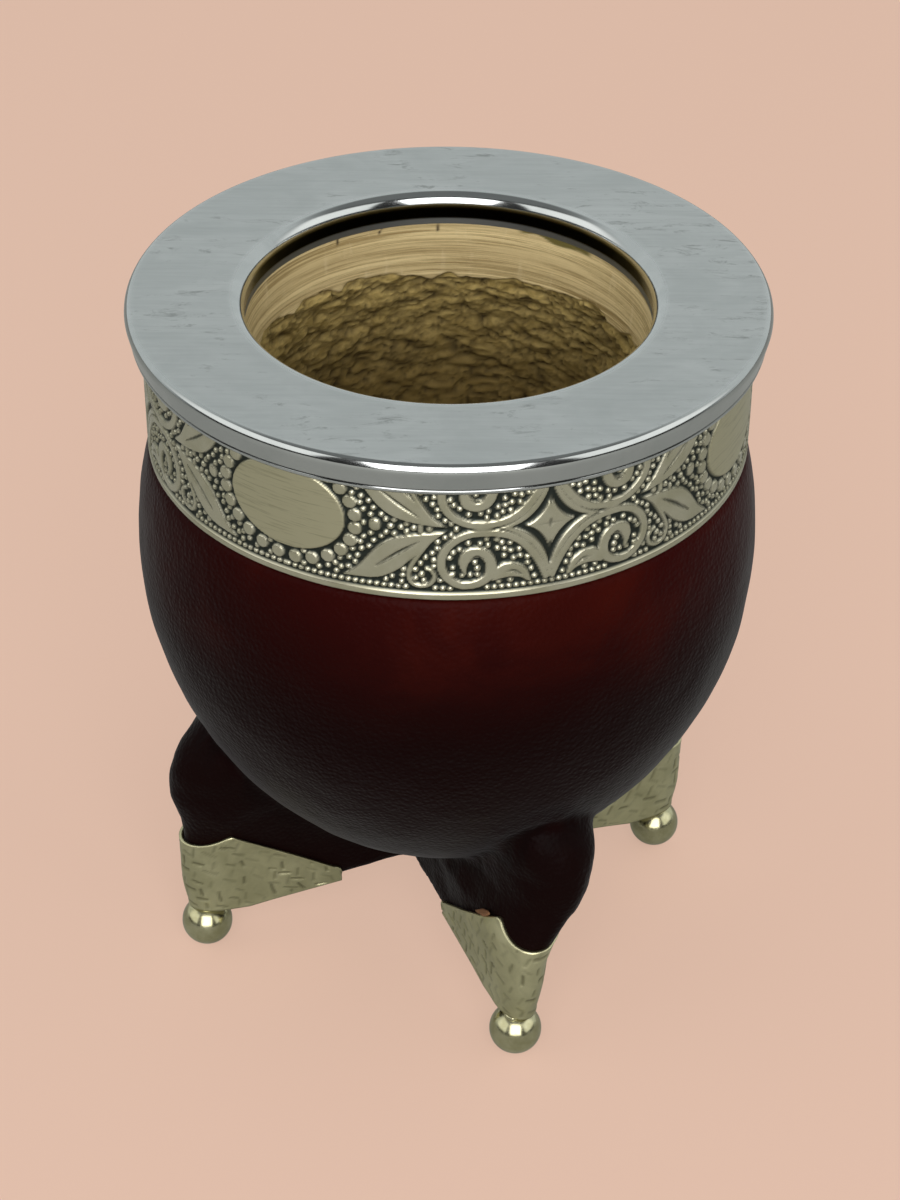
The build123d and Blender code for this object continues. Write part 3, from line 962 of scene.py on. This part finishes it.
# %% Gourd outline
WALL = 9.0
SKIN_FIT = 0.1
RIM_FIT = 0.1
WOOD_LEDGE = 0.15
RAGGED_DROP = 9.0
RAGGED_TILT = 1.2
PULP_STRETCH = 1.45
CHAMFER = 1.75
shell_top = node_box("gourd_shell")[1][2]
neck_radius = collar_radius - NECK_INSET
neck_foot = collar_low[2] - TUCK_HEIGHT
rebate = mouth_radius + STEEL + RIM_FIT
rebate_z = wall_bottom - RIM_FIT
wood_radius = mouth_radius - WOOD_LEDGE
ragged_z = rebate_z - RAGGED_DROP
lining = SKIN_THICK + SKIN_FIT + WALL


def bowl(z, inset):
    """Radius of the bowl's outline at height z, moved inwards by inset."""
    reach = np.where(z > WIDEST_Z, UPPER_ARC, LOWER_ARC)
    return body_radius - reach + np.sqrt(np.maximum((reach - inset) ** 2 - (z - WIDEST_Z) ** 2, 0))


def bowl_floor(inset):
    """Height of the bowl's lowest point, moved inwards by inset."""
    return WIDEST_Z - math.sqrt((LOWER_ARC - inset) ** 2 - (LOWER_ARC - body_radius) ** 2)


floor_turn = math.acos((LOWER_ARC - body_radius) / (LOWER_ARC - lining))
turns = np.linspace(0, floor_turn, 110)
inner_radius = (body_radius - LOWER_ARC) + (LOWER_ARC - lining) * np.cos(turns)
inner_height = WIDEST_Z - (LOWER_ARC - lining) * np.sin(turns)
upper_z = np.arange(ragged_z, WIDEST_Z, -0.42)
wood_z = np.linspace(rebate_z, ragged_z, 40, endpoint=False)
ragged_radius = float(bowl(np.array(ragged_z), lining))
wood_line = wood_radius + (ragged_radius - wood_radius) * (rebate_z - wood_z) / (rebate_z - ragged_z)
outer_z = np.linspace(bowl_floor(SKIN_THICK + SKIN_FIT) + 0.05, neck_foot, 14)
hidden_part = np.concatenate([
    join(bowl(outer_z, SKIN_THICK + SKIN_FIT), outer_z),
    [(neck_radius, neck_foot), (neck_radius, shell_top), (rebate + CHAMFER, shell_top)],
    [(rebate, shell_top - CHAMFER), (rebate, rebate_z)],
])
shell_outline = np.concatenate([
    hidden_part,
    join(wood_line, wood_z),
    join(bowl(upper_z, lining), upper_z),
    join(np.maximum(inner_radius, 0.05), inner_height)[1:],
])
GOURD_COLUMNS = 470
gourd = around(shell_outline, GOURD_COLUMNS)
wood_first = len(hidden_part)
print("gourd outline has", len(shell_outline), "points")

# %% Rings, ragged edge and pulp
inner = gourd[wood_first:]
turn = np.arctan2(inner[..., 1], inner[..., 0])
z = inner[..., 2]
away = join(np.cos(turn), np.sin(turn), 0)
around_edge = away * 27
edge_z = ragged_z + 0.9 * noise(around_edge, 9, 61) + 0.8 * layered(around_edge, 3.2, 62, 3)
edge_z = edge_z + RAGGED_TILT * np.sin(turn)
below = step(0.15, -0.25, z - edge_z)
shelf = step(0.4, -2.5, z - edge_z)
stretched = inner * (1, 1, PULP_STRETCH)
stretched = stretched + 1.3 * join(*[noise(inner, 3.4, seed) for seed in (71, 72, 73)])
crease = 1 - np.abs(layered(stretched, 2.7, 74, 2)) * 2.2
fine = 1 - np.abs(layered(stretched, 1.15, 78, 2)) * 1.9
crease, fine = np.clip(crease, 0, 1) ** 2.2, np.clip(fine, 0, 1) ** 2
lumps = layered(stretched, 4.0, 81, 3)
depth = below * (0.45 + shelf * 0.3 + 0.52 * crease + 0.42 * fine - 0.6 * lumps * shelf)
rings = 0.07 * noise(join(3, 0, z + 0.25 * noise(inner, 9, 85)), 0.55, 86)
rings = rings + 0.05 * noise(inner * (0.12, 0.12, 1), 0.9, 87)
depth = np.maximum(depth, 0) + (1 - below) * rings * step(rebate_z + 0.1, rebate_z - 0.6, z)
# Painted shade: darker in the pulp's creases, and lower down away from its ragged edge.
crease_shade_mask = np.clip(below * (0.55 * crease + 0.55 * fine) + below * (1 - shelf) * 0.2, 0, 1)
away = np.where((z < WIDEST_Z)[..., None], inner - (0, 0, WIDEST_Z), away)
away = away / np.maximum(np.linalg.norm(away, axis=-1), 1e-6)[..., None]
gourd[wood_first:] = inner + away * depth[..., None]

# %% Cracks and glue
CRACKS = [(94.0, 1.5), (111.0, 1.2), (125.0, 1.3)]
GLUE_FROM, GLUE_TO, GLUE_FADE = 43, 70, 3
crack = np.zeros(z.shape)
for index, (degrees, length) in enumerate(CRACKS):
    wander = 0.4 * noise(join(z, index, 0), 1.1, 90 + index)
    across = np.abs((turn - math.radians(degrees)) * wood_radius + wander)
    reached = step(rebate_z - length, rebate_z - length + 0.4, z)
    crack = np.maximum(crack, step(0.24, 0.05, across) * reached)
glue_reach = 0.65 + 0.55 * noise(around_edge, 3.0, 95)
glue = step(math.radians(GLUE_FROM), math.radians(GLUE_FROM + GLUE_FADE), turn)
glue = glue * step(math.radians(GLUE_TO), math.radians(GLUE_TO - GLUE_FADE), turn)
glue = glue * step(rebate_z - glue_reach - 0.1, rebate_z - glue_reach + 0.15, z)


def with_outside(values):
    """A measure of the inner wall, with 0 for the hidden outside."""
    return np.concatenate([np.zeros((wood_first, GOURD_COLUMNS)), values])


# %% [markdown]
# The turned band is pale tan with darker thin rings, and three short cracks run down from its top.
# A thread of dried yellowish glue sits under the steel at the right. The pulp is a dull yellow
# brown, lighter on its lumps and darker low down; painted shade darkens it further below its edge
# and makes it nearly black in its creases.

# %% Gourd finish and piece
calabash = Finish("calabash")
pulp = calabash.measure("pulp")
ring_lines = calabash.grain((30, 30, 2300), 6.0, 0.8, 0.15)
ring_bands = calabash.grain((30, 30, 420), 3.0, 0.5, 0.3)
fibre = calabash.grain((700, 700, 150), 4.0, 0.6)
mottle = calabash.grain((320, 320, 480), 6.0, 0.65, 0.8)
wood_tone = ring_lines.limited(0.38, 0.58).blend((0.33, 0.23, 0.09), (0.76, 0.60, 0.31))
wood_tone = (ring_bands.limited(0.35, 0.7) * 0.45).blend(wood_tone, (0.50, 0.37, 0.175))
wood_tone = (fibre.limited(0.55, 0.8) * 0.35).blend(wood_tone, (0.80, 0.66, 0.40))
wood_tone = calabash.measure("crack").blend(wood_tone, (0.05, 0.03, 0.015))
wood_tone = calabash.measure("glue").blend(wood_tone, (0.16, 0.13, 0.035))
pulp_tone = mottle.limited(0.3, 0.7).blend((0.40, 0.285, 0.085), (0.72, 0.54, 0.20))
# The pulp is made darker towards the bottom of the bowl.
pulp_tone = calabash.measure("darker_low").blend(pulp_tone, (0.25, 0.165, 0.045))
# Painted shade makes the creases nearly black.
pulp_tone = (calabash.measure("painted_crease_shade") * 0.95).blend(pulp_tone, (0.045, 0.028, 0.010))
grit = calabash.bump(mottle, 0.28, 0.7)
calabash.set(
    base_color=pulp.blend(wood_tone, pulp_tone),
    roughness=0.62 + 0.2 * pulp,
    normal=calabash.bump(ring_lines * (1 - pulp), 0.10, 0.5, grit),
    specular_ior_level=0.35,
)
piece(
    "gourd_bowl",
    gourd,
    grid_faces(len(gourd), GOURD_COLUMNS),
    calabash.material,
    ["gourd_shell"],
    {
        "pulp": with_outside(below),
        "painted_crease_shade": with_outside(crease_shade_mask),
        "crack": with_outside(crack * (1 - below)),
        "glue": with_outside(glue * (1 - below)),
        "darker_low": with_outside(0.85 * step(96, 72, z) * below),
    },
)

# %% [markdown]
# ## Foot caps
# Each cap is a sheet-metal shoe: it follows the foot's own form a little further out, and its upper
# edge climbs from a low inner end to a peak and dips again over the toe. Its grid has one
# column for each place round the foot, and every column ends exactly on that edge.

# %% Cap form
CAP_WALL = 0.6
CAP_FIT = 0.1
CAP_START = 17.2
CAP_END_RISE = 5.9
CAP_PEAK_AT = 34.6
CAP_PEAK_RAISED = 0.6
CAP_NOTCH_RISE = 13.8
CAP_CORNER = 1.2
NOTCH_SAG = 0.30
CAP_OUTSIDE = CAP_FIT + CAP_WALL
cap_bottom = cap_low[2]
cap_peak = cap_high[2] + CAP_PEAK_RAISED
cap_notch = cap_bottom + CAP_NOTCH_RISE
cap_tip = FOOT_LEVELS[1, 2] + CAP_FIT + CAP_WALL


def cap_edge(x):
    """Height of the cap's upper edge at distance x along the foot."""
    low = cap_bottom + CAP_END_RISE
    past = x - CAP_START - CAP_CORNER
    rise = low + past * (cap_peak - low) / (CAP_PEAK_AT - CAP_START - CAP_CORNER)
    before = np.clip(CAP_CORNER**2 - (CAP_START + CAP_CORNER - x) ** 2, 0, None)
    corner = low - CAP_CORNER + np.sqrt(before)
    t = np.clip((x - CAP_PEAK_AT) / (cap_tip - CAP_PEAK_AT), 0, 1)
    dip = cap_notch + (cap_peak - cap_notch) * (1 - t) * (1 - (2 - 4 * NOTCH_SAG) * t)
    return np.where(x < CAP_START + CAP_CORNER, corner, np.where(x < CAP_PEAK_AT, rise, dip))


CAP_SIDE = 70
CAP_TOE = 60
CAP_ROWS = 46
straight = np.linspace(0, 1, CAP_SIDE, endpoint=False)
toe = np.linspace(-math.pi / 2, math.pi / 2, CAP_TOE)
cap_columns = 2 * CAP_SIDE + CAP_TOE
share = np.concatenate([straight, np.ones(CAP_TOE), straight[::-1]])
swing = np.concatenate([np.full(CAP_SIDE, -math.pi / 2), toe, np.full(CAP_SIDE, math.pi / 2)])


def cap_place(z, grow):
    """Place along and across the foot, for each column, at height z."""
    half = foot_half(z) + grow
    shoulder = foot_reach(z) + grow - FOOT_NOSE * half
    x = CAP_START + share * (shoulder - CAP_START) + FOOT_NOSE * half * np.cos(swing)
    wide = half + FOOT_FLARE * np.maximum(shoulder - x, 0)
    return x, wide * np.sin(swing)


top_edge = np.full(cap_columns, cap_bottom + 8.0)
for _ in range(40):
    top_edge = 0.5 * top_edge + 0.5 * cap_edge(cap_place(top_edge, CAP_OUTSIDE)[0])
print("cap edge from", round(top_edge.min(), 2), "to", round(top_edge.max(), 2))

# %% [markdown]
# The caps are stamped with a rough basket weave: short pressed strokes, upright and slanting in turn,
# so that low lumps stand between them. The stamping was done by hand and is worn, so noise moves
# each stroke, leans it and makes it deeper or fainter.

# %% Stamped weave
STROKE_PITCH = 2.3
STROKE_ROW = 1.9
STROKE_DEPTH = 0.24


def weave(run, z, seed):
    """Relief of the stamped strokes, in millimetres, at a distance along the cap and a height."""
    wander = 0.25 * noise(join(run, z, seed), 4.0, seed)
    u, v = run + wander, z + wander
    column, row = np.floor(u / STROKE_PITCH), np.floor(v / STROKE_ROW)
    depth = np.zeros_like(u)
    for i, j in itertools.product((-1, 0, 1), repeat=2):
        code = join(column + i, row + j, seed) * 1.37
        shift_u, shift_v, chance = (noise(code, 1.0, seed + k) for k in (5, 6, 7))
        upright = (column + i + row + j) % 2
        angle = np.radians(np.where(upright > 0, 78, -22) + 30 * chance)
        du = u - (column + i + 0.5 + 0.4 * shift_u) * STROKE_PITCH
        dv = v - (row + j + 0.5 + 0.4 * shift_v) * STROKE_ROW
        along = du * np.cos(angle) + dv * np.sin(angle)
        across = dv * np.cos(angle) - du * np.sin(angle)
        reach = 0.75 + 0.5 * shift_v
        away = np.hypot(np.clip(np.abs(along) - reach, 0, None), across)
        pressed = np.clip(0.62 + 0.9 * chance, 0.12, 1)
        depth = np.maximum(depth, pressed * step(0.42, 0.06, away))
    return -STROKE_DEPTH * depth


def cap_sheet(grow, patterned, seed):
    """Grid of points for one side of the cap's sheet, along the foot's own X axis."""
    levels = np.linspace(0, 1, CAP_ROWS)[:, None]
    base_z = cap_bottom + CAP_FIT + CAP_WALL - grow
    base_z = base_z + under_rise(np.hypot(*cap_place(np.full(cap_columns, base_z), grow)))
    z = base_z + levels * (top_edge - base_z)
    x, y = cap_place(z, grow)
    steps = [np.diff(v, axis=1, prepend=v[:, :1]) for v in (x, y)]
    run = np.cumsum(np.hypot(*steps), axis=1)
    run = run - run[:, -1:] / 2
    normal = np.array([np.cos(swing) / FOOT_NOSE, np.sin(swing)])
    normal_x, normal_y = normal / np.hypot(*normal)
    groove = weave(run, z, seed) if patterned else z * 0
    relief = groove * (step(0.15, 0.8, top_edge - z) * step(0.1, 0.7, z - base_z))
    points = join(x + relief * normal_x, y + relief * normal_y, z)
    return points, np.clip(-relief / STROKE_DEPTH, 0, 1)


def on_foot_place(local, turn):
    """Places along and across a foot that points towards turn, moved to the cup."""
    x, y = turned(local[:, 0], local[:, 1], turn)
    return join(x + base_centre[0], y + base_centre[1], local[:, 2])


def cap_mesh(index, seed):
    """Points, quads and groove depth of one cap, in place on its foot."""
    outer, groove = cap_sheet(CAP_OUTSIDE, True, seed)
    inner_side, _ = cap_sheet(CAP_FIT, False, seed)
    local = np.concatenate([outer.reshape(-1, 3), inner_side.reshape(-1, 3)])
    size = CAP_ROWS * cap_columns
    grid = grid_faces(CAP_ROWS, cap_columns, wrap=False)
    c = np.arange(cap_columns - 1)
    r = np.arange(CAP_ROWS - 1) * cap_columns
    last = (CAP_ROWS - 1) * cap_columns
    half = np.arange(cap_columns // 2 - 1)
    mirror = cap_columns - 1 - half
    sole = join(half, half + 1, mirror - 1, mirror)
    quads = [
        grid,
        grid[:, ::-1] + size,
        join(last + c, last + c + 1, size + last + c + 1, size + last + c),
        join(r, r + cap_columns, size + r + cap_columns, size + r),
        join(r + cap_columns, r, size + r, size + r + cap_columns) + cap_columns - 1,
        sole[:, ::-1],
        sole + size,
        np.array([[0, size, size + cap_columns - 1, cap_columns - 1]]),
    ]
    points = on_foot_place(local, foot_angle(local[:, 2], index))
    return points, np.concatenate(quads), np.concatenate([groove.ravel(), groove.ravel() * 0])


# %% [markdown]
# The metal of the caps is the same nickel silver, yellower and duller, and dark in the stamped
# strokes. Each cap has a seed of its own, so no two of them are alike.

# %% Cap metal and pieces
cap_silver = Finish("cap_nickel_silver")
grooved = cap_silver.measure("groove")
tarnish = cap_silver.grain((170, 170, 170), 5.0, 0.6, 0.5)
scuffs = cap_silver.grain((900, 900, 500), 5.0, 0.7)
cap_tone = tarnish.limited(0.3, 0.7).blend((0.58, 0.545, 0.325), (0.73, 0.685, 0.43))
cap_silver.set(
    base_color=(grooved * 0.7).blend(cap_tone, (0.16, 0.145, 0.08)),
    metallic=1.0,
    roughness=0.30 + 0.16 * tarnish + 0.12 * grooved,
    normal=cap_silver.bump(scuffs, 0.05, 0.45),
)
for index, side in enumerate(FEET):
    points, faces, groove = cap_mesh(index, 100 + 7 * index)
    piece(
        "cap_" + side,
        points,
        faces,
        cap_silver.material,
        ["foot_cap_" + side],
        {"groove": groove},
    )

# %% [markdown]
# ### A scrap of leather
# Where the front cap was pushed on, a scrap of undyed leather is still caught at its upper edge. It is
# a small flattened lump, so it is a ball squeezed and roughened with noise, and it lies along
# the slope of the edge.

# %% Scrap of leather
SCRAP_AT = 31.0
SCRAP_SIZE = (2.2, 0.4, 0.6)
SCRAP_LIFT = 0.3
SCRAP_OUT = 0.35
SCRAP_ROWS, SCRAP_COLUMNS = 12, 18
front = FEET.index("front")
scrap_ends = cap_edge(np.array([SCRAP_AT - 1, SCRAP_AT, SCRAP_AT + 1]))
scrap_z = scrap_ends[1] + SCRAP_LIFT
scrap_half = foot_half(scrap_z)
scrap_side = scrap_half + FOOT_FLARE * (foot_reach(scrap_z) - FOOT_NOSE * scrap_half - SCRAP_AT)
scrap = around(arc((0.001, 0.0), 1.0, -89, 89, SCRAP_ROWS), SCRAP_COLUMNS)
scrap = scrap * (1 + 0.35 * noise(scrap, 0.8, 140)[..., None]) * SCRAP_SIZE
scrap = scrap.reshape(-1, 3)
scrap[:, 2] += scrap[:, 0] * (scrap_ends[2] - scrap_ends[0]) / 2
scrap = scrap + (SCRAP_AT, -scrap_side - SCRAP_OUT, scrap_z)
raw_leather = Finish("raw_leather")
fibres = raw_leather.grain((900, 900, 900), 4.0, 0.7)
raw_leather.set(
    base_color=fibres.blend((0.10, 0.035, 0.012), (0.30, 0.14, 0.055)),
    roughness=0.75 + 0.15 * fibres,
    normal=raw_leather.bump(fibres, 0.15, 0.5),
)
piece(
    "leather_scrap",
    on_foot_place(scrap, foot_angle(scrap_z, front)),
    grid_faces(SCRAP_ROWS, SCRAP_COLUMNS),
    raw_leather.material,
    [],
)

# %% [markdown]
# ## Balls
# A turned ball is brazed under each cap by a short neck, with a smear of solder where they meet. Its
# outline is a half circle that stops at the neck. The balls are polished brighter than the caps.

# %% Ball feet
NECK_RADIUS = 1.6
SMEAR_RADIUS = 0.75
BALL_COLUMNS = 56
neck_angle = math.degrees(math.acos(NECK_RADIUS / ball_radius))
neck_z = ball_radius + math.sqrt(ball_radius**2 - NECK_RADIUS**2)
ball_outline = np.concatenate([
    arc((0.0, ball_radius), ball_radius, -90, neck_angle, 40),
    [(NECK_RADIUS, neck_z + 0.05), (NECK_RADIUS, cap_bottom + 0.3), (0.001, cap_bottom + 0.3)],
])
ball_outline[0, 0] = 0.001
solder_ring = np.concatenate([
    arc((NECK_RADIUS - 0.2, cap_bottom - 0.28), SMEAR_RADIUS, -75, 80, 10),
    [(0.6, cap_bottom + 0.35), (0.6, cap_bottom - 0.6)],
])
this = np.arange(BALL_COLUMNS)
following = (this + 1) % BALL_COLUMNS
last_row = BALL_COLUMNS * (len(solder_ring) - 1)
ring_faces = np.concatenate([
    grid_faces(len(solder_ring), BALL_COLUMNS),
    join(this + last_row, following + last_row, following, this),
])
ball_faces = np.concatenate([
    grid_faces(len(ball_outline), BALL_COLUMNS),
    ring_faces + len(ball_outline) * BALL_COLUMNS,
])

ball_silver = Finish("ball_nickel_silver")
ball_marks = ball_silver.grain((420, 420, 420), 5.0, 0.65)
ball_silver.set(
    base_color=ball_marks.limited(0.35, 0.7).blend((0.50, 0.465, 0.27), (0.66, 0.625, 0.40)),
    metallic=1.0,
    roughness=0.14 + 0.16 * ball_marks,
    normal=ball_silver.bump(ball_marks, 0.05, 0.35),
)
for index, side in enumerate(FEET):
    centre = (*ball_centres[index][:2], 0)
    ball = around(ball_outline, BALL_COLUMNS) + centre
    ring = around(solder_ring, BALL_COLUMNS)
    lumpy = 1 + 0.16 * noise(ring + index * 9, 1.1, 120 + index)[..., None] * (1, 1, 0)
    ring = ring * lumpy + centre
    piece(
        "ball_" + side,
        np.concatenate([ball.reshape(-1, 3), ring.reshape(-1, 3)]),
        ball_faces,
        ball_silver.material,
        ["foot_ball_" + side],
    )

# %% [markdown]
# ## Floor, light and camera
# The cup stands on a plain pale floor, which has a tone of its own for the camera and a paler one for
# the light it gives back. Polished metal shows mostly what is around it, so the room matters as
# much as the lamp: a dim ceiling, a light grey wall behind, a bright window at each side, and a
# dark side where the maker stands. The room is a background shader that depends on direction.

# %% Floor
FLOOR_SIDE = 6
floor_finish = Finish("pale_floor")
seen_directly = floor_finish.node("ShaderNodeLightPath", output="Is Camera Ray")
floor_finish.set(
    base_color=seen_directly.blend((0.46, 0.455, 0.43), (0.34, 0.232, 0.184)),
    roughness=1.0,
    specular_ior_level=0.0,
    emission_color=seen_directly.blend((0, 0, 0), (0.499, 0.343, 0.269)),
    emission_strength=1.0,
)
bpy.ops.mesh.primitive_plane_add(size=FLOOR_SIDE, location=(0, 0, 0))
floor = bpy.context.object
floor.name = "floor"
floor.data.materials.append(floor_finish.material)


# %% Room
class Room(Finish):
    """The studio background, with the same helpers as a finish."""

    def __init__(self, world):
        world.use_nodes = True
        self.tree = world.node_tree
        self.surface = self.tree.nodes["Background"]


world = bpy.data.worlds.new("studio")
bpy.context.scene.world = world
studio = Room(world)
direction = studio.node("ShaderNodeTexCoord", output="Generated")
split = studio.node("ShaderNodeSeparateXYZ", None, {0: direction}).socket.node
look_x, look_y, look_z = [Value(studio, out) for out in split.outputs]
walls = look_y.limited(-0.15, 0.45).blend((0.018, 0.018, 0.018), (0.62, 0.66, 0.66))
from_front = look_x.math("ABSOLUTE").math("ARCTAN2", 0 - look_y)
windows = look_z.limited(0.14, 0.20) * look_z.limited(0.80, 0.70)
windows = windows * from_front.limited(0.74, 0.80) * from_front.limited(2.0, 1.6)
room_tone = look_z.limited(0.72, 0.90).blend(walls, (0.19, 0.20, 0.20))
studio.set(color=windows.blend(room_tone, (1.15, 1.17, 1.15)), strength=1.0)

# %% [markdown]
# One large soft panel hangs in front of the cup and well above it. It lights the leather, and the
# rolled steel edges show it as a bright line.

# %% Lamp
PANEL_SIDE = 1.15
PANEL_POWER = 14.5
PANEL_PLACE = (0.0, -1.16, 0.70)
glow = bpy.data.lights.new("front_panel", "AREA")
glow.shape = "RECTANGLE"
glow.size = glow.size_y = PANEL_SIDE
glow.energy = PANEL_POWER
panel = bpy.data.objects.new("front_panel", glow)
panel.location = PANEL_PLACE
cup_middle = Vector((0, 0, 0.06))
panel.rotation_euler = (cup_middle - panel.location).to_track_quat("-Z", "Y").to_euler()
bpy.context.scene.collection.objects.link(panel)

# %% [markdown]
# The camera looks down at the cup from the front, a little over a third of the way to straight above,
# with a long lens so that the shapes stay calm.

# %% Camera
PITCH = math.radians(35.79)
YAW = math.radians(0.09)
ROLL = math.radians(0.52)
LENS_LENGTH = 83.47
SENSOR_WIDTH = 36
CAMERA_PLACE = (0, -0.3385, 0.3014)
ahead = Vector((math.sin(YAW) * math.cos(PITCH), math.cos(YAW) * math.cos(PITCH), -math.sin(PITCH)))
level = Vector((math.cos(YAW), -math.sin(YAW), 0))
above = level.cross(ahead)
right = math.cos(ROLL) * level + math.sin(ROLL) * above
up = math.cos(ROLL) * above - math.sin(ROLL) * level
lens = bpy.data.cameras.new("camera")
lens.lens = LENS_LENGTH
lens.sensor_width = SENSOR_WIDTH
camera = bpy.data.objects.new("camera", lens)
facing = Matrix((right, up, -ahead)).transposed().to_4x4()
camera.matrix_world = Matrix.Translation(CAMERA_PLACE) @ facing
bpy.context.scene.collection.objects.link(camera)
bpy.context.scene.camera = camera
bpy.context.scene.view_settings.view_transform = "Standard"
